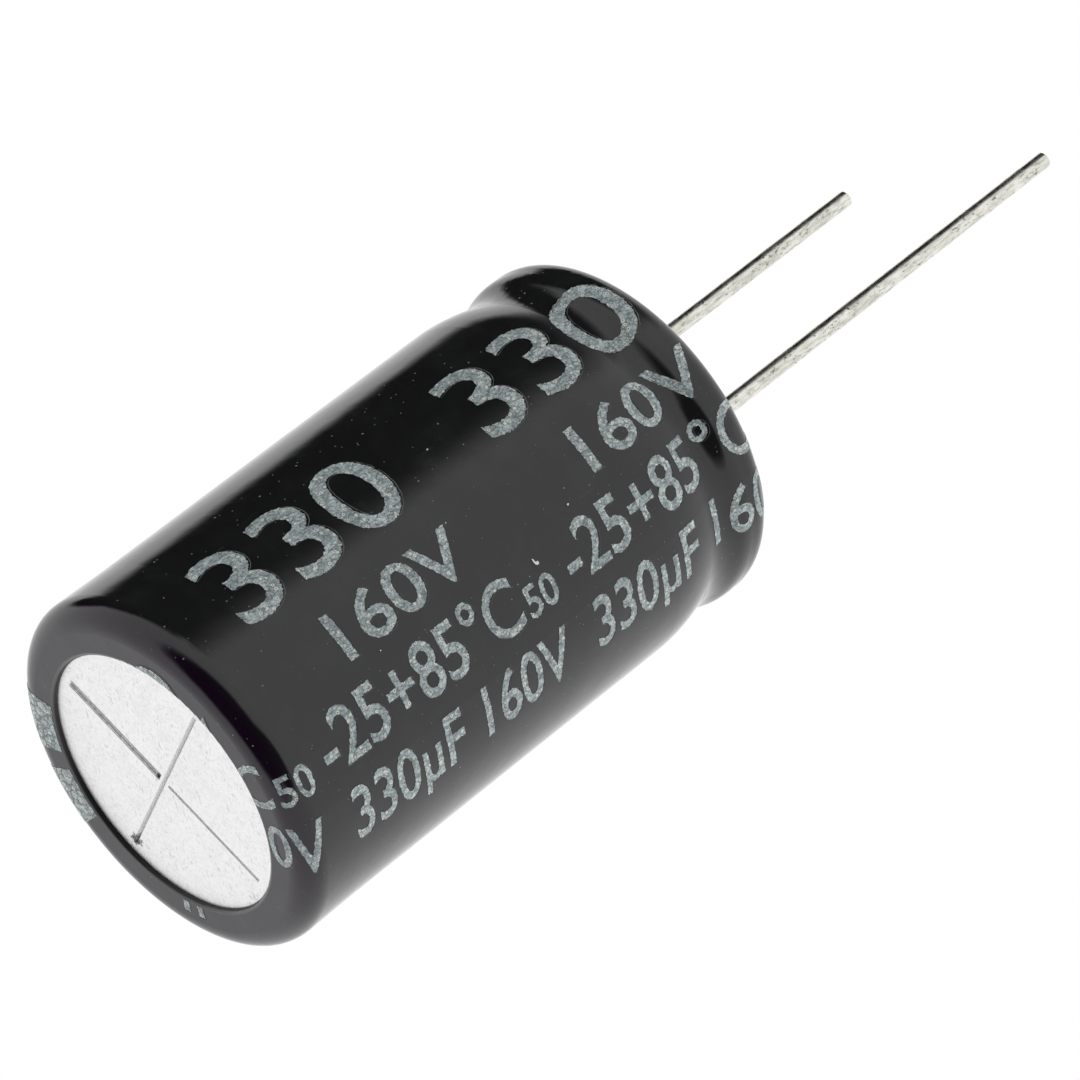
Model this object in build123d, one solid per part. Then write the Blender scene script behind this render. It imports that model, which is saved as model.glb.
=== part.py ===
"""Radial aluminium electrolytic capacitor, built piece by piece as it would be assembled.

It stands on its vent end, with the folded edge of the sleeve on the ground at Z = 0, and its two leads point up.
The Z axis is the axis of the can. The long positive lead is on +X and the short negative lead on -X.
All sizes are in millimetres and all angles in degrees.
"""
from build123d import *
from math import atan2, degrees, floor, sqrt
import os

# ---- Can: impact-extruded cup, rolled bead, curled rim
CAN_DIAMETER = 18.0
CAN_LENGTH = 30.5           # from the base's outer face to the top of the curled rim
CAN_WALL = 0.4
CAN_BASE = 0.5              # thickness of the base that the vent is scored in
CAN_CORNER = 1.0            # outer radius round the base
CAN_INNER_CORNER = 0.5      # radius inside, between the base and the wall
RIM_INSET = 0.07            # the can is drawn in by this much above the bead
CURL_RADIUS = 0.9           # outer radius where the rim turns inwards
CURL_FLAT = 0.5             # width of the flat on top of the rim
CURL_LIP_RADIUS = 0.7       # outer radius where the cut edge turns down on to the seal

# ---- Bead: two shoulders and the hollow that the roller leaves between them
BEAD_BELOW_TOP = 3.05       # from the top of the rim down to the middle of the bead
BEAD_DEPTH = 0.8
BEAD_ROLLER_RADIUS = 1.2
BEAD_LOWER_SHOULDER = 8.95
BEAD_UPPER_SHOULDER = 1.2

# ---- Vent: a scored cross in the base
VENT_REACH = 6.2            # from the axis to the end of each score
VENT_WIDTH = 0.22
VENT_DEPTH = 0.2
VENT_GAP = 0.28             # the broken score stops this far short of the axis
VENT_WHOLE_ANGLE = 131.3
VENT_BROKEN_ANGLE = 41.3

# ---- Sleeve: heat-shrunk film, thicker where it has shrunk furthest
SLEEVE_WALL = 0.15
SLEEVE_FOLD = 0.25          # thickness of the edge that is folded over the base
SLEEVE_OPENING = 6.76       # radius of the opening that leaves the vent free
SLEEVE_EDGE_RADIUS = 0.19
SLEEVE_FLARE = 0.05         # extra wall next to the folded corner
SLEEVE_FLARE_LENGTH = 2.6
SLEEVE_TOP_OVERLAP = 0.3    # how far the sleeve reaches on to the flat of the rim
SLEEVE_BEAD_DEPTH = 0.5     # the film spans the bead without reaching its bottom
SLEEVE_ROLLER_RADIUS = 2.0

# ---- End seal: rubber bung between the bead and the curled rim
SEAL_HEIGHT = 4.6
SEAL_HOLE_CLEARANCE = 0.02  # radial, round the stems and the welds

# ---- Leads
LEAD_SPACING = 7.5
LEAD_DIAMETER = 0.8
POSITIVE_LEAD_LENGTH = 26.9     # from the seal's outer face to the tip
NEGATIVE_LEAD_LENGTH = 20.5
LEAD_TIP_CHAMFER = 0.08
WELD_DIAMETER = 1.3         # where the foot of the lead spreads on to the stem
WELD_DEPTH = 0.5            # the weld lies this deep in the seal

# ---- Tabs: round stem in the seal, flattened to a paddle in the winding
STEM_DIAMETER = 1.9
STEM_TAPER = 1.7            # height over which the stem thins down to the paddle
PADDLE_THICKNESS = 0.25
PADDLE_WIDTH = 2.4
PADDLE_CLEARANCE = 0.015
PADDLE_RISE = 0.35          # from the top of the papers to the end of the taper
PADDLE_BOTTOM_GAP = 3.0     # from the bottom of the winding to the end of the paddle

# ---- Winding: foils and papers laid over each other and wound on a mandrel
CORE_RADIUS = 1.7           # left empty when the mandrel is drawn out
ANODE_THICKNESS = 0.10
CATHODE_THICKNESS = 0.05
PAPER_THICKNESS = 0.09
TAPE_THICKNESS = 0.06
LAYER_CLEARANCE = 0.02
BORE_CLEARANCE = 0.15       # least gap between the winding and the can
FLOOR_CLEARANCE = 0.05
TAB_SPACE = 2.5             # height left above the winding for the tabs
PAPER_MARGIN = 0.7          # the papers stand this far past the foils at each end
TAPE_MARGIN = 1.5           # and this far past the tape
PAPER_LEAD = 2              # half turns that the papers run on before and after the foils
TAPE_HALF_TURNS = 2

# ---- Heights
BASE_Z = SLEEVE_FOLD
FLOOR_Z = BASE_Z + CAN_BASE
CAN_TOP_Z = BASE_Z + CAN_LENGTH
BEAD_Z = CAN_TOP_Z - BEAD_BELOW_TOP
SLEEVE_TOP_Z = CAN_TOP_Z + SLEEVE_WALL
SEAL_TOP_Z = CAN_TOP_Z - CURL_LIP_RADIUS
SEAL_BOTTOM_Z = SEAL_TOP_Z - SEAL_HEIGHT
WELD_Z = SEAL_TOP_Z - WELD_DEPTH
PAPER_BOTTOM_Z = FLOOR_Z + FLOOR_CLEARANCE
PAPER_TOP_Z = SEAL_BOTTOM_Z - TAB_SPACE

# ---- Radii and side distances
CAN_RADIUS = CAN_DIAMETER / 2
RIM_RADIUS = CAN_RADIUS - RIM_INSET
BORE_RADIUS = CAN_RADIUS - CAN_WALL
CURL_CENTRE = RIM_RADIUS - CURL_RADIUS
LIP_CENTRE = CURL_CENTRE - CURL_FLAT
SLEEVE_RADIUS = CAN_RADIUS + SLEEVE_WALL
LEAD_X = LEAD_SPACING / 2
LEAD_RADIUS = LEAD_DIAMETER / 2
WELD_RADIUS = WELD_DIAMETER / 2
STEM_RADIUS = STEM_DIAMETER / 2

# ---- Layers: how far each one starts outside the first paper, and what a whole turn adds
ANODE_OFFSET = PAPER_THICKNESS + LAYER_CLEARANCE
SECOND_PAPER_OFFSET = ANODE_OFFSET + ANODE_THICKNESS + LAYER_CLEARANCE
CATHODE_OFFSET = SECOND_PAPER_OFFSET + PAPER_THICKNESS + LAYER_CLEARANCE
TURN_PITCH = CATHODE_OFFSET + CATHODE_THICKNESS + LAYER_CLEARANCE
HALF_PITCH = TURN_PITCH / 2
TAB_ROOM = PADDLE_THICKNESS + 2 * PADDLE_CLEARANCE - LAYER_CLEARANCE
WINDING_ROOM = BORE_RADIUS - BORE_CLEARANCE - TAPE_THICKNESS - TAB_ROOM - TURN_PITCH - CORE_RADIUS
LAST_CROSSING = floor(WINDING_ROOM / HALF_PITCH)


class Bead:
    """A rolled bead: a hollow between two shoulders, tangent to the wall below it and above it."""

    def __init__(self, lower_radius, upper_radius, depth, roller, lower_shoulder, upper_shoulder):
        self.lower_radius = lower_radius
        self.upper_radius = upper_radius
        self.roller = roller
        self.lower_shoulder = lower_shoulder
        self.upper_shoulder = upper_shoulder
        self.roller_r = lower_radius - depth + roller
        lower_run = self.roller_r - lower_radius + lower_shoulder
        upper_run = self.roller_r - upper_radius + upper_shoulder
        lower_rise = sqrt((roller + lower_shoulder) ** 2 - lower_run ** 2)
        upper_rise = sqrt((roller + upper_shoulder) ** 2 - upper_run ** 2)
        self.lower_z = BEAD_Z - lower_rise
        self.upper_z = BEAD_Z + upper_rise
        self.lower_angle = degrees(atan2(lower_rise, lower_run))
        self.upper_angle = degrees(atan2(upper_rise, upper_run))

    def side(self, inset, bottom_z, top_z):
        """Edges of the side wall from bottom_z up to top_z, taken inset into the wall from its outer face."""
        lower_r = self.lower_radius - inset
        upper_r = self.upper_radius - inset
        lower = CenterArc((self.lower_radius - self.lower_shoulder, self.lower_z),
                          self.lower_shoulder - inset, 0, self.lower_angle)
        hollow = CenterArc((self.roller_r, BEAD_Z), self.roller + inset,
                           180 + self.lower_angle, -self.lower_angle - self.upper_angle)
        upper = CenterArc((self.upper_radius - self.upper_shoulder, self.upper_z),
                          self.upper_shoulder - inset, -self.upper_angle, self.upper_angle)
        return [Line((lower_r, bottom_z), (lower_r, self.lower_z)), lower, hollow, upper,
                Line((upper_r, self.upper_z), (upper_r, top_z))]


CAN_BEAD = Bead(CAN_RADIUS, RIM_RADIUS, BEAD_DEPTH, BEAD_ROLLER_RADIUS,
                BEAD_LOWER_SHOULDER, BEAD_UPPER_SHOULDER)
SLEEVE_BEAD = Bead(SLEEVE_RADIUS, RIM_RADIUS + SLEEVE_WALL, SLEEVE_BEAD_DEPTH, SLEEVE_ROLLER_RADIUS,
                   BEAD_LOWER_SHOULDER + SLEEVE_WALL, BEAD_UPPER_SHOULDER + SLEEVE_WALL)


def turned(edges):
    """The solid that a closed outline of radius and height sweeps round the Z axis."""
    return revolve(Plane.XZ * make_face(edges), axis=Axis.Z)


def vent_score(angle, start):
    """A V-shaped groove across the outside of the base, from start to the vent's reach, at an angle to +X."""
    half_width = VENT_WIDTH / 2
    section = Plane.YZ * make_face([Line((-half_width, BASE_Z), (half_width, BASE_Z)),
                                    Line((half_width, BASE_Z), (0, BASE_Z + VENT_DEPTH)),
                                    Line((0, BASE_Z + VENT_DEPTH), (-half_width, BASE_Z))])
    return Rot(0, 0, angle) * Pos(start, 0, 0) * extrude(section, VENT_REACH - start, dir=(1, 0, 0))


def make_can():
    curl_z = CAN_TOP_Z - CURL_RADIUS
    lip_z = CAN_TOP_Z - CURL_LIP_RADIUS
    lip_r = LIP_CENTRE - CURL_LIP_RADIUS
    corner_r = CAN_RADIUS - CAN_CORNER
    corner_z = BASE_Z + CAN_CORNER
    inner_r = BORE_RADIUS - CAN_INNER_CORNER
    inner_z = FLOOR_Z + CAN_INNER_CORNER
    outside = [Line((0, BASE_Z), (corner_r, BASE_Z)),
               CenterArc((corner_r, corner_z), CAN_CORNER, -90, 90),
               *CAN_BEAD.side(0, corner_z, curl_z),
               CenterArc((CURL_CENTRE, curl_z), CURL_RADIUS, 0, 90),
               Line((CURL_CENTRE, CAN_TOP_Z), (LIP_CENTRE, CAN_TOP_Z)),
               CenterArc((LIP_CENTRE, lip_z), CURL_LIP_RADIUS, 90, 90)]
    inside = [Line((0, FLOOR_Z), (inner_r, FLOOR_Z)),
              CenterArc((inner_r, inner_z), CAN_INNER_CORNER, -90, 90),
              *CAN_BEAD.side(CAN_WALL, inner_z, curl_z),
              CenterArc((CURL_CENTRE, curl_z), CURL_RADIUS - CAN_WALL, 0, 90),
              Line((CURL_CENTRE, CAN_TOP_Z - CAN_WALL), (LIP_CENTRE, CAN_TOP_Z - CAN_WALL)),
              CenterArc((LIP_CENTRE, lip_z), CURL_LIP_RADIUS - CAN_WALL, 90, 90)]
    ends = [Line((0, BASE_Z), (0, FLOOR_Z)), Line((lip_r, lip_z), (lip_r + CAN_WALL, lip_z))]
    can = turned(outside + inside + ends)
    can -= vent_score(VENT_WHOLE_ANGLE, -VENT_REACH)
    can -= vent_score(VENT_BROKEN_ANGLE, VENT_GAP)
    can -= vent_score(VENT_BROKEN_ANGLE + 180, VENT_GAP)
    return can


def make_sleeve():
    edge_r = SLEEVE_OPENING + SLEEVE_EDGE_RADIUS
    corner_r = CAN_RADIUS - CAN_CORNER
    corner_z = BASE_Z + CAN_CORNER
    flare_r = SLEEVE_RADIUS + SLEEVE_FLARE
    flare_top = corner_z + SLEEVE_FLARE_LENGTH
    curl_z = CAN_TOP_Z - CURL_RADIUS
    end_r = CURL_CENTRE - SLEEVE_TOP_OVERLAP
    outside = [CenterArc((edge_r, SLEEVE_EDGE_RADIUS), SLEEVE_EDGE_RADIUS, -180, 90),
               Line((edge_r, 0), (corner_r, 0)),
               TangentArc((corner_r, 0), (flare_r, corner_z), tangent=(1, 0)),
               Line((flare_r, corner_z), (SLEEVE_RADIUS, flare_top)),
               *SLEEVE_BEAD.side(0, flare_top, curl_z),
               CenterArc((CURL_CENTRE, curl_z), CURL_RADIUS + SLEEVE_WALL, 0, 90),
               Line((CURL_CENTRE, SLEEVE_TOP_Z), (end_r, SLEEVE_TOP_Z))]
    inside = [Line((SLEEVE_OPENING, BASE_Z), (corner_r, BASE_Z)),
              CenterArc((corner_r, corner_z), CAN_CORNER, -90, 90),
              *SLEEVE_BEAD.side(SLEEVE_WALL, corner_z, curl_z),
              CenterArc((CURL_CENTRE, curl_z), CURL_RADIUS, 0, 90),
              Line((CURL_CENTRE, CAN_TOP_Z), (end_r, CAN_TOP_Z))]
    ends = [Line((SLEEVE_OPENING, BASE_Z), (SLEEVE_OPENING, SLEEVE_EDGE_RADIUS)),
            Line((end_r, CAN_TOP_Z), (end_r, SLEEVE_TOP_Z))]
    return turned(outside + inside + ends)


def make_end_seal():
    """The bung fills the can's bore from below the bead up to the cut edge of the curl."""
    curl_z = CAN_TOP_Z - CURL_RADIUS
    arch_z = CAN_TOP_Z - CAN_WALL
    bore = turned([Line((0, FLOOR_Z), (BORE_RADIUS, FLOOR_Z)),
                   *CAN_BEAD.side(CAN_WALL, FLOOR_Z, curl_z),
                   CenterArc((CURL_CENTRE, curl_z), CURL_RADIUS - CAN_WALL, 0, 90),
                   Line((CURL_CENTRE, arch_z), (0, arch_z)),
                   Line((0, arch_z), (0, FLOOR_Z))])
    seal = bore & upright(0, CAN_RADIUS, SEAL_BOTTOM_Z, SEAL_TOP_Z)
    stem_hole = STEM_RADIUS + SEAL_HOLE_CLEARANCE
    weld_hole = WELD_RADIUS + SEAL_HOLE_CLEARANCE
    for x in (LEAD_X, -LEAD_X):
        seal -= upright(x, stem_hole, SEAL_BOTTOM_Z, WELD_Z)
        seal -= upright(x, weld_hole, WELD_Z, SEAL_TOP_Z)
    return seal


def upright(x, radius, bottom_z, top_z):
    """A round bar parallel to the Z axis, centred on the point x of the X axis."""
    return Pos(x, 0, (bottom_z + top_z) / 2) * Cylinder(radius, top_z - bottom_z)


def make_lead(side, length):
    """A round wire with a sheared tip, whose foot spreads on to the stem at the weld."""
    wire = upright(side * LEAD_X, LEAD_RADIUS, SEAL_TOP_Z, SEAL_TOP_Z + length)
    wire = chamfer(wire.edges().sort_by(Axis.Z)[-1], LEAD_TIP_CHAMFER)
    foot = Cone(WELD_RADIUS, LEAD_RADIUS, WELD_DEPTH)
    return wire + Pos(side * LEAD_X, 0, (WELD_Z + SEAL_TOP_Z) / 2) * foot


def tab_crossing(parity, offset, thickness):
    """The crossing of that parity where a foil's outer face comes nearest to the line of its stem."""
    target = LEAD_X - PADDLE_THICKNESS / 2 - CORE_RADIUS - offset - thickness
    return parity + 2 * round((target / HALF_PITCH - parity) / 2)


ANODE_TAB_CROSSING = tab_crossing(0, ANODE_OFFSET, ANODE_THICKNESS)
CATHODE_TAB_CROSSING = tab_crossing(1, CATHODE_OFFSET, CATHODE_THICKNESS)


def crossing(index, offset):
    """Where a layer crosses the X axis for the index-th time: even crossings are on +X, odd ones on -X.

    Everything outside a tab's paddle is pushed out by the room that the paddle takes.
    """
    distance = CORE_RADIUS + index * HALF_PITCH + offset
    if index % 2 == 0:
        beyond_tab = (index, offset) > (ANODE_TAB_CROSSING, ANODE_OFFSET)
    else:
        beyond_tab = (index, offset) > (CATHODE_TAB_CROSSING, CATHODE_OFFSET)
    if beyond_tab:
        distance += TAB_ROOM
    return distance if index % 2 == 0 else -distance


def half_turn(index, offset, extra):
    """The arc from one crossing of the X axis to the next, extra outside the inner face of its layer."""
    away = 1 if index % 2 == 0 else -1
    start = crossing(index, offset) + away * extra
    end = crossing(index + 1, offset) - away * extra
    rise = abs(end - start) / 2 * away
    return ThreePointArc((start, 0), ((start + end) / 2, rise), (end, 0))


def wound_strip(offset, thickness, first, last, bottom_z, top_z):
    """A strip wound from its first crossing to its last, as one solid with its true thickness."""
    inner = [half_turn(index, offset, 0) for index in range(first, last)]
    outer = [half_turn(index, offset, thickness) for index in range(first, last)]
    ends = [Line(inner[0] @ 0, outer[0] @ 0), Line(inner[-1] @ 1, outer[-1] @ 1)]
    return Pos(0, 0, bottom_z) * extrude(make_face(inner + outer + ends), top_z - bottom_z)


def make_tab(side, paddle_r):
    """A stem that fits the seal's hole and thins down to a paddle, which lies against the foil at paddle_r."""
    taper_z = PAPER_TOP_Z + PADDLE_RISE
    paddle_x = side * (paddle_r + PADDLE_THICKNESS / 2)
    stem_x = side * LEAD_X
    half = PADDLE_THICKNESS / 2
    wedge_points = [(paddle_x - half, taper_z), (paddle_x + half, taper_z),
                    (stem_x + STEM_RADIUS, taper_z + STEM_TAPER), (stem_x + STEM_RADIUS, WELD_Z),
                    (stem_x - STEM_RADIUS, WELD_Z), (stem_x - STEM_RADIUS, taper_z + STEM_TAPER)]
    wedge = extrude(Plane.XZ * make_face(Polyline(wedge_points, close=True)), STEM_RADIUS, both=True)
    stem = upright(stem_x, STEM_RADIUS, taper_z, WELD_Z) & wedge

    half_angle = degrees(PADDLE_WIDTH / 2 / paddle_r)
    facing = 0 if side > 0 else 180
    inner = CenterArc((0, 0), paddle_r, facing - half_angle, 2 * half_angle)
    outer = CenterArc((0, 0), paddle_r + PADDLE_THICKNESS, facing - half_angle, 2 * half_angle)
    section = make_face([inner, outer, Line(inner @ 0, outer @ 0), Line(inner @ 1, outer @ 1)])
    paddle_bottom = PAPER_BOTTOM_Z + PADDLE_BOTTOM_GAP
    paddle = Pos(0, 0, paddle_bottom) * extrude(section, taper_z + PADDLE_RISE - paddle_bottom)
    return stem + paddle


def make_winding():
    foil_bottom = PAPER_BOTTOM_Z + PAPER_MARGIN
    foil_top = PAPER_TOP_Z - PAPER_MARGIN
    foil_first = PAPER_LEAD
    foil_last = LAST_CROSSING - PAPER_LEAD
    return {
        "separator_paper_inner": wound_strip(0, PAPER_THICKNESS, 0, LAST_CROSSING,
                                             PAPER_BOTTOM_Z, PAPER_TOP_Z),
        "anode_foil": wound_strip(ANODE_OFFSET, ANODE_THICKNESS, foil_first, foil_last,
                                  foil_bottom, foil_top),
        "separator_paper_outer": wound_strip(SECOND_PAPER_OFFSET, PAPER_THICKNESS, 0, LAST_CROSSING,
                                             PAPER_BOTTOM_Z, PAPER_TOP_Z),
        "cathode_foil": wound_strip(CATHODE_OFFSET, CATHODE_THICKNESS, foil_first, foil_last,
                                    foil_bottom, foil_top),
        "element_tape": wound_strip(0, TAPE_THICKNESS, LAST_CROSSING, LAST_CROSSING + TAPE_HALF_TURNS,
                                    PAPER_BOTTOM_Z + TAPE_MARGIN, PAPER_TOP_Z - TAPE_MARGIN),
    }


def make_capacitor():
    anode_face = crossing(ANODE_TAB_CROSSING, ANODE_OFFSET) + ANODE_THICKNESS
    cathode_face = -crossing(CATHODE_TAB_CROSSING, CATHODE_OFFSET) + CATHODE_THICKNESS
    return {
        "sleeve": make_sleeve(),
        "can": make_can(),
        "end_seal": make_end_seal(),
        "positive_lead": make_lead(1, POSITIVE_LEAD_LENGTH),
        "negative_lead": make_lead(-1, NEGATIVE_LEAD_LENGTH),
        "positive_tab": make_tab(1, anode_face + PADDLE_CLEARANCE),
        "negative_tab": make_tab(-1, cathode_face + PADDLE_CLEARANCE),
        **make_winding(),
    }


def main():
    os.makedirs("parts", exist_ok=True)
    for name, piece in make_capacitor().items():
        export_step(piece, f"parts/{name}.step")


main()
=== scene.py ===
"""Finishes, print, stage, light and camera for a radial aluminium electrolytic capacitor."""

from collections import namedtuple
from math import cos, pi, radians, sin

import bmesh
import bpy
from mathutils import Matrix, Quaternion, Vector, noise
from mathutils.bvhtree import BVHTree


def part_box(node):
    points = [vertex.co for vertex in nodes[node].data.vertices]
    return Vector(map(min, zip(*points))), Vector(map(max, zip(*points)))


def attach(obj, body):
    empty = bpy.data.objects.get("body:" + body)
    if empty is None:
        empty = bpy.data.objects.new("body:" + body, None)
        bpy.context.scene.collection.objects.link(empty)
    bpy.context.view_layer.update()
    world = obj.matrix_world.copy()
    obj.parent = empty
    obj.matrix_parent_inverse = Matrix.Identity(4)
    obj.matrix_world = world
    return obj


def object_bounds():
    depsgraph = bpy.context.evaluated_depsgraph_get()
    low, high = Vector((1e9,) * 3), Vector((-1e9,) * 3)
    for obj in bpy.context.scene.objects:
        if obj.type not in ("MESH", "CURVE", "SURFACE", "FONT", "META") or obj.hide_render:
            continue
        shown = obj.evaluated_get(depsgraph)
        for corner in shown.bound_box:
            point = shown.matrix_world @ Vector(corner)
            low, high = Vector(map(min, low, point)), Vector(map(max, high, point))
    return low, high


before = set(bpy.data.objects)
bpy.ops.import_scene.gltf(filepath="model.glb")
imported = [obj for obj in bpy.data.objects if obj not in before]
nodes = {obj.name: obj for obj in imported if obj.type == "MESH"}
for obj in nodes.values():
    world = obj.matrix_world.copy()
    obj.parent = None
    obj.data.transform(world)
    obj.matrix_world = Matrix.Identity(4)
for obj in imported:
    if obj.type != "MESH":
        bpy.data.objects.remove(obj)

MM = 0.001

cad_low, cad_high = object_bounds()

# The sleeve's path from the vent end to the lead end, in millimetres. A run is a distance along
# the film: it equals the height on the straight wall, and carries on round both corners.
WALL_RADIUS = 9.15
FOLD_CORNER = 1.2
FOLD_CORNER_RADIUS = 8.0
FOLD_EDGE_RADIUS = 6.95
RIM_CORNER = 1.05
RIM_CORNER_RADIUS = 8.03
RIM_EDGE_RADIUS = 7.73
RIM_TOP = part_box("sleeve")[1].z / MM
RIM_CORNER_START = RIM_TOP - RIM_CORNER
QUARTER_TURN = pi / 2
FOLD_EDGE_RUN = FOLD_CORNER * (1 - QUARTER_TURN) - (FOLD_CORNER_RADIUS - FOLD_EDGE_RADIUS)
RIM_EDGE_RUN = RIM_CORNER_START + RIM_CORNER * QUARTER_TURN + RIM_CORNER_RADIUS - RIM_EDGE_RADIUS

# The scores of the vent cross: their directions in degrees, and how far they run in millimetres.
LONG_SCORE_ANGLE = 131.3
BROKEN_SCORE_ANGLE = 41.3
SCORE_REACH = 6.2
SCORE_GAP = 0.3

# How high the ink and the clear overprint stand on the film, and how finely print is sliced
# so that it bends with the film, in millimetres.
INK_HEIGHT = 0.015
OVERPRINT_HEIGHT = 0.007
OVERPRINT_SHIFT = (0.10, -0.05)
OVERPRINT_FLATNESS = 0.15
SLICE = 0.1
CUT_TOLERANCE = 0.00001
MERGE_DISTANCE = 0.001

# In the font, one unit is the em: how tall a figure is, the depth of the overprint's line, and
# how many steps a curve of each is drawn with.
FIGURE_HEIGHT = 0.72
LINE_DEPTH = 0.0035
FIGURE_STEPS = 8
LINE_STEPS = 5

# The outlines are frayed with this noise, in waves to a millimetre, from one fixed seed.
FRAY_SEED = 7
FRAY_WAVES = 9

# A row is repeated along the film at its pitch. Its baseline angle is in degrees, the rest of
# its sizes and its blocks' are in millimetres, and a weight is in ems.
Block = namedtuple("Block", "text run length height weight")
Row = namedtuple("Row", "name baseline_angle pitch ragged blocks")
ROWS = (
    Row("big_figures", baseline_angle=-55.2, pitch=15.65, ragged=0.085, blocks=[
        Block("330", run=3.84, length=10.5, height=4.6, weight=0.006),
    ]),
    Row("voltage", baseline_angle=-30.8, pitch=15.8, ragged=0.06, blocks=[
        Block("160V", run=6.5, length=7.95, height=2.4, weight=0.012),
    ]),
    Row("range", baseline_angle=-7.5, pitch=15.7, ragged=0.055, blocks=[
        Block("-25+85°C", run=2.8, length=12.6, height=2.7, weight=0.012),
        Block("50", run=15.7, length=1.9, height=1.55, weight=0.014),
    ]),
    Row("ratings", baseline_angle=16.6, pitch=15.7, ragged=0.055, blocks=[
        Block("330µF 160V", run=3.3, length=13.9, height=2.77, weight=0.012),
    ]),
    Row("back_ratings", baseline_angle=110.0, pitch=15.7, ragged=0.06, blocks=[
        Block("160V 330µF", run=1.2, length=13.4, height=3.1, weight=0.010),
    ]),
)

# The polarity stripe and its minus signs: angles in degrees, lengths along the film in millimetres.
STRIPE_START, STRIPE_END = 149.2, 200.2
SIGN_START, SIGN_END = 170.4, 178.1
SIGN_LENGTH, SIGN_PITCH, FIRST_SIGN = 7.2, 10.4, -3.6
STRIPE_MESH = 0.16
STRIPE_RAGGED = 0.06

# Dust on the film: a fibre, and grains as (angle, run, radius).
FIBRE_ANGLE, FIBRE_RUN = -22.0, 17.2
FIBRE_RADIUS, FIBRE_BEND = 0.045, 0.15
GRAINS = ((-28.2, 20.16, 0.055), (-65.7, 16.8, 0.04), (-28.0, 8.0, 0.035), (-45.0, 14.6, 0.03))

# The view, in degrees, and the lens, in millimetres.
VIEW_AZIMUTH = 53.8
VIEW_ELEVATION = -30.55
VIEW_ROLL = 52.13
VIEW_DISTANCE = 317.0 * MM
VIEW_AIM = Vector((1.05, 1.43, 23.25)) * MM
LENS = 228.6
SENSOR = 36.0

# The room's light, and the floor in metres.
ROOM_BRIGHTNESS = 1.07
FLOOR_RADIUS = 1.5
FLOOR_CLEARANCE = 0.05 * MM
FLOOR_FADE_START, FLOOR_FADE_END = 0.05, 0.30


# ---------------------------------------------------------------- shader building

class Value:
    """One socket of a node; arithmetic on it adds Math nodes to the same tree."""

    def __init__(self, tree, socket):
        self.tree = tree
        self.socket = socket

    def __add__(self, other):
        return self.tree.math("ADD", self, other)

    def __radd__(self, other):
        return self.tree.math("ADD", other, self)

    def __sub__(self, other):
        return self.tree.math("SUBTRACT", self, other)

    def __rsub__(self, other):
        return self.tree.math("SUBTRACT", other, self)

    def __mul__(self, other):
        return self.tree.math("MULTIPLY", self, other)

    def __rmul__(self, other):
        return self.tree.math("MULTIPLY", other, self)

    def __abs__(self):
        return self.tree.math("ABSOLUTE", self)

    def part(self, name):
        """Another output of the node that this value comes from."""
        return Value(self.tree, self.socket.node.outputs[name])


class Tree:
    """A node tree with the few helpers that the finishes share. Patterns are in millimetres."""

    def __init__(self, node_tree):
        self.nodes = node_tree.nodes
        self.links = node_tree.links
        self.nodes.clear()

    def node(self, kind, settings=None, sockets=None, output=0):
        """Any node: its settings first, then the values or links of its sockets."""
        made = self.nodes.new(kind)
        for name, setting in (settings or {}).items():
            setattr(made, name, setting)
        for name, value in (sockets or {}).items():
            if isinstance(value, Value):
                self.links.new(value.socket, made.inputs[name])
            else:
                made.inputs[name].default_value = value
        return Value(self, made.outputs[output] if made.outputs else None)

    def math(self, operation, *values):
        return self.node("ShaderNodeMath", {"operation": operation}, dict(enumerate(values)))

    def place(self, stretch=(1, 1, 1), turn=(0, 0, 0)):
        """Object coordinates in millimetres, stretched and turned."""
        spot = self.node("ShaderNodeTexCoord", output="Object")
        scale = tuple(share / MM for share in stretch)
        return self.node(
            "ShaderNodeMapping",
            sockets={"Vector": spot, "Scale": scale, "Rotation": turn},
        )

    def spot(self):
        """The three object coordinates in millimetres, each as a value."""
        parts = self.node("ShaderNodeSeparateXYZ", sockets={"Vector": self.place()})
        return parts.part("X"), parts.part("Y"), parts.part("Z")

    def clouds(self, per_mm, detail=3.0, rough=0.5, place=None):
        """Soft noise, so many clouds to a millimetre."""
        sockets = {
            "Vector": place or self.place(),
            "Scale": per_mm,
            "Detail": detail,
            "Roughness": rough,
        }
        return self.node("ShaderNodeTexNoise", sockets=sockets)

    def cells(self, per_mm, feature="F1"):
        """Distance from the nearest cell's middle, or to its edge, so many cells to a millimetre."""
        sockets = {"Vector": self.place(), "Scale": per_mm}
        return self.node("ShaderNodeTexVoronoi", {"feature": feature}, sockets)

    def step(self, value, low, high):
        """0 at low and 1 at high, with soft ends; low may be above high."""
        sockets = {"Value": value, "From Min": low, "From Max": high}
        return self.node("ShaderNodeMapRange", {"interpolation_type": "SMOOTHSTEP"}, sockets)

    def mix(self, factor, first, second):
        """From the first colour to the second."""
        sockets = {0: factor, 6: first, 7: second}
        return self.node("ShaderNodeMix", {"data_type": "RGBA"}, sockets, output=2)

    def bump(self, height, strength, depth_mm, under=None):
        """A bump from a height, on top of another bump if one is given."""
        sockets = {"Height": height, "Strength": strength, "Distance": depth_mm * MM}
        if under:
            sockets["Normal"] = under
        return self.node("ShaderNodeBump", sockets=sockets)

    def flecks(self, spacing, size, share):
        """Small round flecks, one to a cell, on a share of the cells."""
        cell = self.cells(1 / spacing)
        chosen = self.node("ShaderNodeSeparateColor", sockets={"Color": cell.part("Color")})
        present = self.step(chosen, 1 - share, 1 - share + 0.02)
        return self.step(cell, size / spacing, 0.55 * size / spacing) * present


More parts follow.
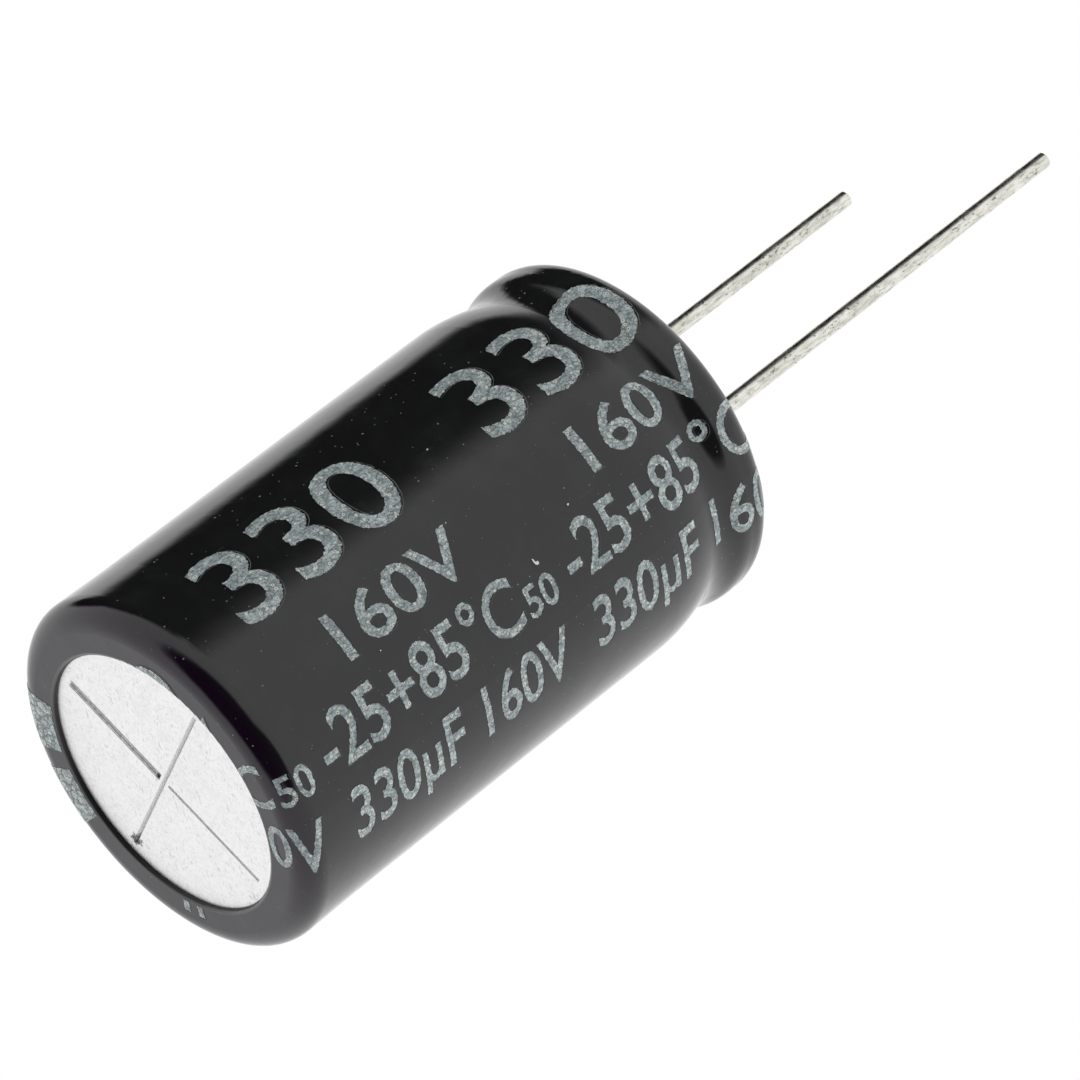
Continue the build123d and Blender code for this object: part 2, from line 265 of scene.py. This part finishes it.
def grey(level, warm=0.0):
    """A near-neutral colour; warm above zero leans it to yellow, below zero to blue."""
    return (level * (1 + warm), level, level * (1 - warm), 1.0)


def finish_material(name, build):
    """A material whose Principled sockets are what build(tree) returns."""
    material = bpy.data.materials.new(name)
    material.use_nodes = True
    tree = Tree(material.node_tree)
    shader = tree.node("ShaderNodeBsdfPrincipled", sockets=build(tree))
    tree.node("ShaderNodeOutputMaterial", sockets={"Surface": shader})
    return material


# ---------------------------------------------------------------- finishes

FILM_BLACK = (0.0120, 0.0129, 0.0124, 1.0)
FILM_HAZE = (0.0175, 0.0190, 0.0183, 1.0)
FOLD_REFLECTION_TINT = (0.0100, 0.0036, 0.0120, 1.0)
INK_DEEP = (0.40, 0.47, 0.48, 1.0)
INK_LIGHT = (0.62, 0.70, 0.70, 1.0)
INK_THIN = (0.20, 0.235, 0.24, 1.0)
INK_VEIN = (0.11, 0.13, 0.135, 1.0)
INK_RING = (0.85, 0.88, 0.78, 1.0)
TIN_SHADE = (0.52, 0.51, 0.46, 1.0)
TIN_LIGHT = (0.84, 0.83, 0.77, 1.0)
TIN_DULL = (0.50, 0.49, 0.43, 1.0)
TIN_RUBBED = (0.17, 0.17, 0.145, 1.0)
TIN_PIT = (0.08, 0.08, 0.07, 1.0)
PAPER_DARK = (0.36, 0.27, 0.16, 1.0)
PAPER_LIGHT = (0.56, 0.45, 0.29, 1.0)
TAPE_DARK = (0.50, 0.42, 0.25, 1.0)
TAPE_LIGHT = (0.64, 0.56, 0.37, 1.0)


def sleeve_film(tree):
    """Black shrunk film: glossy, slightly rippled, with dust, faint scuffs and haze. The fold
    carries a painted reflection tint, and the opening's edge a painted sheen and painted shade.
    """
    x, y, z = tree.spot()
    underside = tree.step(z, 1.2, 0.4)
    radius = tree.math("SQRT", x * x + y * y)
    # Painted sheen: a lighter grey ring on the rounded edge of the opening, standing in for the
    # reflection that the annulus shows.
    painted_edge_sheen = tree.step(radius, FOLD_EDGE_RADIUS + 0.03, FOLD_EDGE_RADIUS - 0.03) * underside
    # The cut edge inside it is made matte, and its colour is darkened further as painted shade in
    # the gap at the disc's rim.
    matte_edge_and_shade = tree.step(radius, FOLD_EDGE_RADIUS - 0.10, FOLD_EDGE_RADIUS - 0.16) * underside

    ripple = tree.clouds(0.35, detail=2)
    peel = tree.clouds(3.5, detail=2)
    haze = tree.step(tree.clouds(0.5, detail=5, rough=0.65), 0.42, 0.72)
    scratch_place = tree.place(stretch=(2.2, 2.2, 0.16), turn=(0.25, 0.15, 0.0))
    scratch = tree.step(tree.clouds(3.0, detail=4, place=scratch_place), 0.70, 0.76)
    dust = tree.flecks(0.80, 0.055, 0.5)
    big_dust = tree.flecks(2.6, 0.09, 0.35)
    fine_dust = tree.flecks(0.42, 0.042, 0.45)

    colour = tree.mix(haze, FILM_BLACK, FILM_HAZE)
    # Painted reflection tint: the fold's underside is coloured purple in place of the tint that its
    # reflected surroundings give it.
    colour = tree.mix(underside * 0.9, colour, FOLD_REFLECTION_TINT)
    colour = tree.mix(scratch * 0.45, colour, grey(0.06))
    colour = tree.mix(fine_dust * 0.30, colour, grey(0.30))
    colour = tree.mix(dust * 0.45, colour, grey(0.40))
    colour = tree.mix(big_dust * 0.65, colour, grey(0.6, 0.03))
    colour = tree.mix(painted_edge_sheen, colour, grey(0.085))
    colour = tree.mix(matte_edge_and_shade, colour, grey(0.004))

    normal = tree.bump(ripple, 0.6, 0.05)
    normal = tree.bump(peel, 0.3, 0.007, normal)
    normal = tree.bump(dust + big_dust + fine_dust, 0.5, 0.02, normal)
    return {
        "Base Color": colour,
        "Roughness": 0.075 + haze * 0.05 + scratch * 0.10 + dust * 0.3 + matte_edge_and_shade * 0.45,
        "IOR": 1.49,
        "Normal": normal,
    }


def crazed_ink(vein_size, vein_dark, vein_strength, vein_depth, roughness):
    """Pale grey print, crazed by the film's shrinking, with slanting creases and ringed bubbles."""
    def build(tree):
        warp = tree.clouds(2.5, detail=2)
        vein = tree.step(tree.cells(1 / vein_size, "DISTANCE_TO_EDGE") + warp * 0.10, 0.17, 0.07)
        thin = tree.step(tree.clouds(7.0, detail=3, rough=0.6), 0.48, 0.64)
        slant = tree.place(stretch=(1, 1, 0.5), turn=(0.6, 0.0, 0.3))
        crease = tree.step(abs(tree.clouds(4.2, detail=2, place=slant) - 0.5), 0.05, 0.015)
        bubble = tree.cells(1 / 0.36)
        ring = tree.step(bubble, 0.27, 0.22) * tree.step(bubble, 0.09, 0.14)
        pit = tree.step(bubble, 0.13, 0.08)

        colour = tree.mix(tree.step(warp, 0.35, 0.65), INK_DEEP, INK_LIGHT)
        colour = tree.mix(thin * 0.45, colour, INK_THIN)
        colour = tree.mix(crease * 0.75, colour, INK_VEIN)
        colour = tree.mix(vein * vein_dark, colour, INK_VEIN)
        colour = tree.mix(ring * 0.8, colour, INK_RING)
        colour = tree.mix(pit * 0.9, colour, INK_VEIN)
        return {
            "Base Color": colour,
            "Roughness": roughness + vein * 0.2,
            "IOR": 1.5,
            "Normal": tree.bump(vein, vein_strength, vein_depth),
        }
    return build


def overprint_edge(tree):
    """The thin raised line that the clear overprint leaves beside each figure."""
    broken = tree.step(tree.clouds(2.2, detail=3), 0.34, 0.52)
    colour = tree.mix(broken, grey(0.03), grey(0.11, -0.03))
    return {"Base Color": colour, "Roughness": 0.2, "IOR": 1.5}


def score_mask(tree, x, y, angle, start, half_width):
    """A straight band on the vent disc from start to the scores' reach, along an angle."""
    along = x * cos(radians(angle)) + y * sin(radians(angle))
    across = abs(y * cos(radians(angle)) - x * sin(radians(angle)))
    width = tree.step(across, half_width * 1.25, half_width * 0.75)
    from_start = tree.step(along, start - 0.08, start + 0.02)
    to_end = tree.step(along, SCORE_REACH + 0.08, SCORE_REACH - 0.02)
    return width * from_start * to_end


def can_aluminium(tree):
    """Bright drawn aluminium: satin, finely mottled, pitted, with grime in and beside the scores,
    and painted groove shade along them.
    """
    x, y, _ = tree.spot()
    mottle = tree.clouds(5.5, detail=6, rough=0.7)
    broad = tree.clouds(0.9, detail=3)
    grain = tree.clouds(17.0, detail=3, rough=0.7)
    hair_patch = tree.step(tree.clouds(1.4, detail=3), 0.42, 0.62)
    hair_place = tree.place(stretch=(1, 0.45, 1), turn=(0, 0, 0.5))
    hair = tree.step(tree.clouds(10.0, detail=4, rough=0.6, place=hair_place), 0.56, 0.66)
    nick_place = tree.place(stretch=(1, 0.25, 1), turn=(0, 0, 0.9))
    nick = tree.step(tree.clouds(4.0, detail=3, place=nick_place), 0.66, 0.72)

    colour = tree.mix(tree.step(mottle, 0.34, 0.56), grey(0.77, 0.004), grey(0.88))
    colour = tree.mix(tree.step(broad, 0.45, 0.7) * 0.25, colour, grey(0.74))
    colour = tree.mix(hair * (0.15 + hair_patch * 0.5), colour, grey(0.46))
    colour = tree.mix(tree.step(grain, 0.60, 0.72) * 0.45, colour, grey(0.46))
    colour = tree.mix(nick * 0.45, colour, grey(0.42, 0.01))
    colour = tree.mix(tree.flecks(0.45, 0.06, 0.22) * 0.55, colour, grey(0.30))
    colour = tree.mix(tree.flecks(1.9, 0.09, 0.3) * 0.75, colour, grey(0.14, 0.02))

    # One half of the broken score is dark with grime, with dark edge lines and a lighter middle
    # painted as the groove's shade; the other half is faint. The scores are made matte and painted
    # in flat greys that stand in for the grooves' own shading.
    streak = tree.step(tree.clouds(6.0, detail=3), 0.35, 0.60)
    dark_angle = BROKEN_SCORE_ANGLE + 180
    dark_half = score_mask(tree, x, y, dark_angle, SCORE_GAP, half_width=0.24)
    dark_middle = score_mask(tree, x, y, dark_angle, SCORE_GAP, half_width=0.15)
    faint_half = score_mask(tree, x, y, BROKEN_SCORE_ANGLE, SCORE_GAP, half_width=0.115)
    long_score = score_mask(tree, x, y, LONG_SCORE_ANGLE, -SCORE_REACH, half_width=0.115)
    colour = tree.mix(dark_half * (0.75 + streak * 0.2), colour, grey(0.12))
    colour = tree.mix(dark_middle * (1.0 - streak * 0.35), colour, grey(0.98))
    colour = tree.mix(faint_half, colour, grey(1.0))
    colour = tree.mix(faint_half * streak * 0.35, colour, grey(0.55, 0.02))
    colour = tree.mix(long_score * (0.85 + streak * 0.15), colour, grey(0.92))

    # Grime gathers at one end of the long score and where the dark half meets it.
    smudge_reach = SCORE_REACH - 0.35
    smudge_x = x - smudge_reach * cos(radians(LONG_SCORE_ANGLE))
    smudge_y = y - smudge_reach * sin(radians(LONG_SCORE_ANGLE))
    smudge_edge = tree.clouds(7.0, detail=4, rough=0.7) * 0.8
    smudge = tree.step(smudge_x * smudge_x + smudge_y * smudge_y + smudge_edge, 0.56, 0.40)
    colour = tree.mix(smudge * 0.85, colour, grey(0.045))
    meeting = tree.step(x * x + y * y + tree.clouds(8.0) * 0.05, 0.34, 0.20)
    colour = tree.mix(meeting * dark_half * 0.9, colour, grey(0.05))

    dull = dark_half + faint_half + long_score - dark_middle * 0.4
    normal = tree.bump(broad, 0.25, 0.05)
    normal = tree.bump(grain + mottle, 0.35, 0.012, normal)
    return {
        "Base Color": colour,
        "Metallic": 1.0 - tree.math("MINIMUM", dull, 1.0) * 0.92,
        "Roughness": 0.36 + mottle * 0.16 + smudge * 0.2,
        "Normal": normal,
    }


def tinned_wire(tree):
    """Tinned steel wire: creamy silver, drawn along its length, with pits and rubbed patches."""
    drawn_place = tree.place(stretch=(1, 1, 0.16))
    drawn = tree.clouds(9.0, detail=4, rough=0.6, place=drawn_place)
    broad = tree.clouds(0.5, detail=2)
    patch = tree.step(tree.clouds(1.6, detail=4, rough=0.6), 0.40, 0.62)
    speck_place = tree.place(stretch=(1, 1, 0.5))
    speck = tree.step(tree.clouds(7.0, detail=5, rough=0.7, place=speck_place), 0.53, 0.62)
    pits = tree.flecks(0.5, 0.08, 0.25)

    colour = tree.mix(tree.step(drawn, 0.3, 0.65), TIN_SHADE, TIN_LIGHT)
    colour = tree.mix(tree.step(broad, 0.4, 0.65) * 0.35, colour, TIN_DULL)
    colour = tree.mix(patch * speck * 0.9, colour, TIN_RUBBED)
    colour = tree.mix(pits * 0.8, colour, TIN_PIT)

    normal = tree.bump(drawn, 0.1, 0.006)
    normal = tree.bump(speck + pits * 2.0, 0.13, -0.006, normal)
    return {
        "Base Color": colour,
        "Metallic": 1.0,
        "Roughness": 0.25 + patch * 0.10 + pits * 0.3,
        "Normal": normal,
    }


def seal_rubber(tree):
    """Moulded black rubber with a fine dull grain and a little pale bloom."""
    grain = tree.clouds(9.0, detail=4, rough=0.65)
    bloom = tree.step(tree.clouds(0.8, detail=4), 0.45, 0.75)
    colour = tree.mix(bloom, grey(0.018), grey(0.034, 0.02))
    colour = tree.mix(tree.flecks(0.6, 0.04, 0.3) * 0.5, colour, grey(0.18))
    return {
        "Base Color": colour,
        "Roughness": 0.52 + bloom * 0.12,
        "Normal": tree.bump(grain, 0.35, 0.02),
    }


def foil(tint):
    """Etched foil in one tint, with a matt grain and faint lengthwise bands."""
    def build(tree):
        etch = tree.clouds(14.0, detail=4, rough=0.7)
        bands = tree.clouds(2.0, detail=2, place=tree.place(stretch=(0.2, 0.2, 2.0)))
        colour = tree.mix(etch, grey(tint * 0.8, 0.01), grey(tint))
        colour = tree.mix(bands * 0.3, colour, grey(tint * 0.7))
        return {
            "Base Color": colour,
            "Metallic": 1.0,
            "Roughness": 0.45 + etch * 0.15,
            "Normal": tree.bump(etch, 0.3, 0.01),
        }
    return build


def separator_paper(tree):
    """Soaked kraft paper with short fibres."""
    fibre = tree.clouds(6.0, detail=4, rough=0.6, place=tree.place(stretch=(1, 1, 0.3)))
    colour = tree.mix(fibre, PAPER_DARK, PAPER_LIGHT)
    return {"Base Color": colour, "Roughness": 0.55, "Normal": tree.bump(fibre, 0.4, 0.02)}


def element_tape(tree):
    """Buff tape round the winding, with a slight crepe."""
    crepe = tree.clouds(3.0, detail=3, place=tree.place(stretch=(1, 1, 0.2)))
    colour = tree.mix(crepe, TAPE_DARK, TAPE_LIGHT)
    return {"Base Color": colour, "Roughness": 0.4, "Normal": tree.bump(crepe, 0.35, 0.03)}


def pale_dust(tree):
    """The fibre and the grains caught on the film."""
    colour = tree.mix(tree.clouds(9.0), grey(0.80), grey(0.97))
    return {"Base Color": colour, "Roughness": 0.6}


def paint_nodes():
    """Gives every construction node its finish."""
    wire = finish_material("tinned_lead_wire", tinned_wire)
    tab_metal = finish_material("tab_aluminium", foil(0.72))
    paper = finish_material("separator_paper", separator_paper)
    finishes = {
        "sleeve": finish_material("black_sleeve_film", sleeve_film),
        "can": finish_material("drawn_can_aluminium", can_aluminium),
        "end_seal": finish_material("black_seal_rubber", seal_rubber),
        "positive_lead": wire,
        "negative_lead": wire,
        "positive_tab": tab_metal,
        "negative_tab": tab_metal,
        "anode_foil": finish_material("etched_anode_foil", foil(0.42)),
        "cathode_foil": finish_material("cathode_foil", foil(0.60)),
        "separator_paper_inner": paper,
        "separator_paper_outer": paper,
        "element_tape": finish_material("element_tape", element_tape),
    }
    for name, material in finishes.items():
        for material_slot in nodes[name].material_slots:
            material_slot.material = material


# ---------------------------------------------------------------- laying things on the sleeve

def film_spot(run):
    """Radius and height of a run on the plain profile, and the way out of the film there."""
    if run < FOLD_CORNER:
        turn = (FOLD_CORNER - run) / FOLD_CORNER
        if turn < QUARTER_TURN:
            radius = FOLD_CORNER_RADIUS + FOLD_CORNER * cos(turn)
            return radius, FOLD_CORNER * (1 - sin(turn)), cos(turn), -sin(turn)
        return FOLD_CORNER_RADIUS - FOLD_CORNER * (turn - QUARTER_TURN), 0.0, 0.0, -1.0
    if run > RIM_CORNER_START:
        turn = (run - RIM_CORNER_START) / RIM_CORNER
        if turn < QUARTER_TURN:
            radius = RIM_CORNER_RADIUS + RIM_CORNER * cos(turn)
            return radius, RIM_CORNER_START + RIM_CORNER * sin(turn), cos(turn), sin(turn)
        return RIM_CORNER_RADIUS - RIM_CORNER * (turn - QUARTER_TURN), RIM_TOP, 0.0, 1.0
    return WALL_RADIUS, run, 1.0, 0.0


def film_surface():
    """The sleeve's own surface, to lay print on."""
    shell = bmesh.new()
    shell.from_mesh(nodes["sleeve"].data)
    surface = BVHTree.FromBMesh(shell)
    shell.free()
    return surface


def lay_on_film(flat, surface, baseline_angle, lift=INK_HEIGHT):
    """Wraps a flat shape on the film: x is the run, y goes up from the baseline, z is the height."""
    reach = 2.0
    for vertex in flat.verts:
        radius, height, out_radius, out_height = film_spot(vertex.co.x)
        angle = radians(baseline_angle) - vertex.co.y / WALL_RADIUS
        way = Vector((cos(angle) * out_radius, sin(angle) * out_radius, out_height))
        spot = Vector((cos(angle) * radius, sin(angle) * radius, height))
        hit = surface.ray_cast((spot + way * reach) * MM, -way, 2 * reach * MM)[0]
        ground = hit if hit else spot * MM
        vertex.co = ground + way * (lift + vertex.co.z) * MM


def add_piece(name, made, material):
    """Turns a finished bmesh into a piece that rides with the capacitor."""
    mesh = bpy.data.meshes.new(name)
    made.to_mesh(mesh)
    made.free()
    mesh.materials.append(material)
    piece = bpy.data.objects.new(name, mesh)
    bpy.context.scene.collection.objects.link(piece)
    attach(piece, "root")


def join_into(whole, added):
    """Adds one bmesh to another and frees it."""
    holder = bpy.data.meshes.new("joining")
    added.to_mesh(holder)
    added.free()
    whole.from_mesh(holder)
    bpy.data.meshes.remove(holder)


# ---------------------------------------------------------------- print on the sleeve

def cut_across(flat, way, start, end):
    """Slices a flat print across x or y, once every slice's width from start to end."""
    normal = Vector((1, 0, 0)) if way == "x" else Vector((0, 1, 0))
    for number in range(int((end - start) / SLICE)):
        bmesh.ops.bisect_plane(
            flat,
            geom=flat.verts[:] + flat.edges[:] + flat.faces[:],
            dist=CUT_TOLERANCE,
            plane_co=normal * (start + (number + 0.5) * SLICE),
            plane_no=normal,
        )


def trim_to_film(flat):
    """Cuts off what would run past the film's two edges."""
    for edge_run, way in ((FOLD_EDGE_RUN, -1), (RIM_EDGE_RUN, 1)):
        bmesh.ops.bisect_plane(
            flat,
            geom=flat.verts[:] + flat.edges[:] + flat.faces[:],
            dist=CUT_TOLERANCE,
            plane_co=(edge_run, 0, 0),
            plane_no=(way, 0, 0),
            clear_outer=True,
        )


def fray(flat, amount):
    """Makes the outline slightly ragged, as a screened print is."""
    layer = amount * 100
    for vertex in flat.verts:
        if vertex.is_boundary:
            place = Vector((vertex.co.x * FRAY_WAVES, vertex.co.y * FRAY_WAVES, layer))
            push = noise.noise_vector(place)
            vertex.co.x += push.x * amount
            vertex.co.y += push.y * amount


def lettering(text, weight, line_only=False):
    """Flat figures as a mesh, one unit to the em, or only a fine line round them."""
    curve = bpy.data.curves.new("figures", "FONT")
    curve.body = text
    curve.offset = weight
    curve.resolution_u = FIGURE_STEPS
    if line_only:
        curve.fill_mode = "NONE"
        curve.bevel_depth = LINE_DEPTH
        curve.bevel_resolution = 0
        curve.resolution_u = LINE_STEPS
    holder = bpy.data.objects.new("figures", curve)
    bpy.context.scene.collection.objects.link(holder)
    bpy.context.view_layer.update()
    evaluated = holder.evaluated_get(bpy.context.evaluated_depsgraph_get())
    flat = bpy.data.meshes.new_from_object(evaluated)
    bpy.data.objects.remove(holder)
    return flat


def fitted(flat, figures, block, start, shift=(0.0, 0.0)):
    """A copy of flat lettering that fills a block, with the figures' left side at start."""
    left = min(vertex.co.x for vertex in figures.vertices)
    right = max(vertex.co.x for vertex in figures.vertices)
    growth = block.height / FIGURE_HEIGHT
    stretch = (block.length / (right - left), growth, growth)
    made = bmesh.new()
    made.from_mesh(flat)
    bmesh.ops.translate(made, verts=made.verts, vec=(-left, 0, 0))
    bmesh.ops.scale(made, verts=made.verts, vec=stretch)
    bmesh.ops.translate(made, verts=made.verts, vec=(start + shift[0], shift[1], 0))
    return made


def print_row(row, surface, ink, edge_line):
    """One row of print, repeated along the film, with the overprint's line beside its figures."""
    below, above = -0.2, 1.1
    print_mesh = bmesh.new()
    outline = bmesh.new()
    for block in row.blocks:
        figures = lettering(block.text, block.weight)
        line = lettering(block.text, block.weight, line_only=True)
        for repeat in (-1, 0, 1):
            start = block.run + repeat * row.pitch
            end = start + block.length
            if end < FOLD_EDGE_RUN or start > RIM_EDGE_RUN:
                continue
            inked = fitted(figures, figures, block, start)
            trim_to_film(inked)
            cut_across(inked, "x", start, end)
            cut_across(inked, "y", below * block.height, above * block.height)
            join_into(print_mesh, inked)
            raised = fitted(line, figures, block, start, OVERPRINT_SHIFT)
            trim_to_film(raised)
            join_into(outline, raised)
    bmesh.ops.remove_doubles(print_mesh, verts=print_mesh.verts, dist=MERGE_DISTANCE)
    fray(print_mesh, row.ragged)
    lay_on_film(print_mesh, surface, row.baseline_angle)
    bmesh.ops.scale(outline, verts=outline.verts, vec=(1, 1, OVERPRINT_FLATNESS))
    lay_on_film(outline, surface, row.baseline_angle, OVERPRINT_HEIGHT)
    add_piece("print_" + row.name, print_mesh, ink)
    add_piece("overprint_edge_" + row.name, outline, edge_line)


def polarity_stripe(surface, ink):
    """The light stripe on the negative side, with a dark minus sign left open at each pitch."""
    width = radians(STRIPE_END - STRIPE_START) * WALL_RADIUS
    length = RIM_EDGE_RUN - FOLD_EDGE_RUN
    stripe = bmesh.new()
    bmesh.ops.create_grid(
        stripe,
        x_segments=round(length / STRIPE_MESH),
        y_segments=round(width / STRIPE_MESH),
        size=0.5,
    )
    bmesh.ops.scale(stripe, verts=stripe.verts, vec=(length, width, 1))
    bmesh.ops.translate(stripe, verts=stripe.verts, vec=(FOLD_EDGE_RUN + length / 2, width / 2, 0))
    low_y = radians(STRIPE_END - SIGN_END) * WALL_RADIUS
    high_y = radians(STRIPE_END - SIGN_START) * WALL_RADIUS
    opened = []
    for face in stripe.faces:
        centre = face.calc_center_median()
        along_sign = (centre.x - FIRST_SIGN) % SIGN_PITCH
        if low_y < centre.y < high_y and along_sign < SIGN_LENGTH:
            opened.append(face)
    bmesh.ops.delete(stripe, geom=opened, context="FACES")
    fray(stripe, STRIPE_RAGGED)
    lay_on_film(stripe, surface, STRIPE_END)
    add_piece("polarity_stripe", stripe, ink)


def print_sleeve(surface):
    """All the print: plain figures and units in rows, and the polarity stripe."""
    ink = finish_material("crazed_grey_ink", crazed_ink(
        vein_size=0.20, vein_dark=0.5, vein_strength=0.6, vein_depth=-0.012, roughness=0.34,
    ))
    stripe_ink = finish_material("crazed_stripe_ink", crazed_ink(
        vein_size=0.42, vein_dark=0.75, vein_strength=0.7, vein_depth=-0.015, roughness=0.32,
    ))
    edge_line = finish_material("clear_overprint_edge", overprint_edge)
    for row in ROWS:
        print_row(row, surface, ink, edge_line)
    polarity_stripe(surface, stripe_ink)


# ---------------------------------------------------------------- dust on the sleeve

def lay_fibre(surface, material):
    """A short hooked fibre that lies on the film between two rows."""
    bend, swing = radians(125), radians(175)
    stretch = (0.9, 1.8, 0.5)
    fibre = bmesh.new()
    ring = bmesh.ops.create_circle(fibre, cap_ends=True, segments=8, radius=FIBRE_RADIUS)
    bmesh.ops.rotate(fibre, verts=ring["verts"], matrix=Matrix.Rotation(QUARTER_TURN, 3, "X"))
    bmesh.ops.translate(fibre, verts=ring["verts"], vec=(FIBRE_BEND, 0, 0))
    bmesh.ops.spin(
        fibre,
        geom=fibre.verts[:] + fibre.edges[:] + fibre.faces[:],
        cent=(0, 0, 0),
        axis=(0, 0, 1),
        angle=bend,
        steps=14,
    )
    bmesh.ops.rotate(fibre, verts=fibre.verts, matrix=Matrix.Rotation(swing, 3, "Z"))
    bmesh.ops.scale(fibre, verts=fibre.verts, vec=stretch)
    bmesh.ops.translate(fibre, verts=fibre.verts, vec=(FIBRE_RUN, 0, FIBRE_RADIUS * stretch[2]))
    bmesh.ops.recalc_face_normals(fibre, faces=fibre.faces)
    lay_on_film(fibre, surface, FIBRE_ANGLE)
    add_piece("lint_fibre", fibre, material)


def lay_grains(surface, material):
    """A few larger grains of dust, each a small rounded crumb."""
    squash, seat = (1.2, 0.9, 0.7), 0.5
    grains = bmesh.new()
    for angle, run, radius in GRAINS:
        grain = bmesh.new()
        bmesh.ops.create_icosphere(grain, subdivisions=2, radius=radius)
        bmesh.ops.scale(grain, verts=grain.verts, vec=squash)
        bmesh.ops.translate(grain, verts=grain.verts, vec=(run, 0, radius * seat))
        lay_on_film(grain, surface, angle)
        join_into(grains, grain)
    add_piece("dust_grains", grains, material)


# ---------------------------------------------------------------- room, floor, camera

def dark_patch(tree, direction, azimuth, elevation, core, edge):
    """1 inside a round dark part of the room, fading to 0 at its edge; angles in degrees."""
    turn, rise = radians(azimuth), radians(elevation)
    centre = (cos(rise) * cos(turn), cos(rise) * sin(turn), sin(rise))
    closeness = tree.node(
        "ShaderNodeVectorMath",
        {"operation": "DOT_PRODUCT"},
        {0: direction, 1: centre},
        output="Value",
    )
    return tree.step(closeness, cos(radians(edge)), cos(radians(core)))


def make_room():
    """A white tent with a gap in its ceiling and two dark sides that the light doesn't reach."""
    world = bpy.data.worlds.new("light_tent")
    bpy.context.scene.world = world
    world.use_nodes = True
    tree = Tree(world.node_tree)
    direction = tree.node("ShaderNodeTexCoord", output="Generated")
    ceiling_gap = dark_patch(tree, direction, azimuth=-136, elevation=25, core=21, edge=32)
    ceiling_side = dark_patch(tree, direction, azimuth=-112, elevation=34, core=10, edge=35)
    ceiling_corner = dark_patch(tree, direction, azimuth=-156, elevation=9, core=9, edge=18)
    far_side = dark_patch(tree, direction, azimuth=-45, elevation=-52, core=33, edge=50)
    near_side = dark_patch(tree, direction, azimuth=-8, elevation=-18, core=16, edge=29)
    ceiling = (1 - ceiling_gap) * (1 - ceiling_side) * (1 - ceiling_corner)
    light = ceiling * (1 - far_side) * (1 - near_side)
    colour = tree.mix(light, grey(0.0), grey(1.0))
    tent = tree.node("ShaderNodeBackground", sockets={"Color": colour, "Strength": ROOM_BRIGHTNESS})
    backdrop = tree.node("ShaderNodeBackground", sockets={"Color": grey(1.0), "Strength": 1.0})
    seen = tree.node("ShaderNodeLightPath", output="Is Camera Ray")
    shown = tree.node("ShaderNodeMixShader", sockets={0: seen, 1: tent, 2: backdrop})
    tree.node("ShaderNodeOutputWorld", sockets={"Surface": shown})


def floor_finish(material):
    """Pale floor, seen from above only, that fades into the white backdrop."""
    tree = Tree(material.node_tree)
    spot = tree.node("ShaderNodeTexCoord", output="Object")
    distance = tree.node("ShaderNodeVectorMath", {"operation": "LENGTH"}, {0: spot}, output="Value")
    fade = tree.step(distance, FLOOR_FADE_START, FLOOR_FADE_END)
    tint = tree.mix(tree.clouds(0.2, detail=3), grey(0.86), grey(0.89))
    paint = tree.node("ShaderNodeBsdfDiffuse", sockets={"Color": tint})
    glow = tree.node("ShaderNodeEmission", sockets={"Color": grey(1.0), "Strength": 1.0})
    front = tree.node("ShaderNodeMixShader", sockets={0: fade, 1: paint, 2: glow})
    clear = tree.node("ShaderNodeBsdfTransparent")
    behind = tree.node("ShaderNodeNewGeometry", output="Backfacing")
    both = tree.node("ShaderNodeMixShader", sockets={0: behind, 1: front, 2: clear})
    tree.node("ShaderNodeOutputMaterial", sockets={"Surface": both})


def make_floor():
    """A wide pale disc just under the vent end, which takes no part in the light on the sleeve."""
    disc = bmesh.new()
    bmesh.ops.create_circle(disc, cap_ends=True, segments=96, radius=FLOOR_RADIUS)
    bmesh.ops.translate(disc, verts=disc.verts, vec=(0, 0, cad_low.z - FLOOR_CLEARANCE))
    for face in disc.faces:
        if face.normal.z < 0:
            face.normal_flip()
    mesh = bpy.data.meshes.new("floor")
    disc.to_mesh(mesh)
    disc.free()
    material = bpy.data.materials.new("pale_floor")
    material.use_nodes = True
    floor_finish(material)
    mesh.materials.append(material)
    floor = bpy.data.objects.new("floor", mesh)
    bpy.context.scene.collection.objects.link(floor)
    floor.visible_diffuse = False
    floor.visible_glossy = False
    floor.visible_transmission = False
    floor.visible_shadow = False


def make_camera():
    """Looks up at the vent end from below, rolled so that the leads point up and to the right."""
    azimuth, elevation = radians(VIEW_AZIMUTH), radians(VIEW_ELEVATION)
    flat = cos(elevation)
    back = Vector((sin(azimuth) * flat, -cos(azimuth) * flat, sin(elevation)))
    roll = Quaternion((0, 0, 1), radians(VIEW_ROLL))
    data = bpy.data.cameras.new("camera")
    data.lens = LENS
    data.sensor_width = SENSOR
    camera = bpy.data.objects.new("camera", data)
    camera.location = VIEW_AIM + back * VIEW_DISTANCE
    camera.rotation_mode = "QUATERNION"
    camera.rotation_quaternion = (-back).to_track_quat("-Z", "Y") @ roll
    bpy.context.scene.collection.objects.link(camera)
    bpy.context.scene.camera = camera


noise.seed_set(FRAY_SEED)
paint_nodes()
film = film_surface()
print_sleeve(film)
dust = finish_material("pale_lint", pale_dust)
lay_fibre(film, dust)
lay_grains(film, dust)
make_room()
make_floor()
make_camera()
bpy.context.scene.view_settings.view_transform = "Standard"
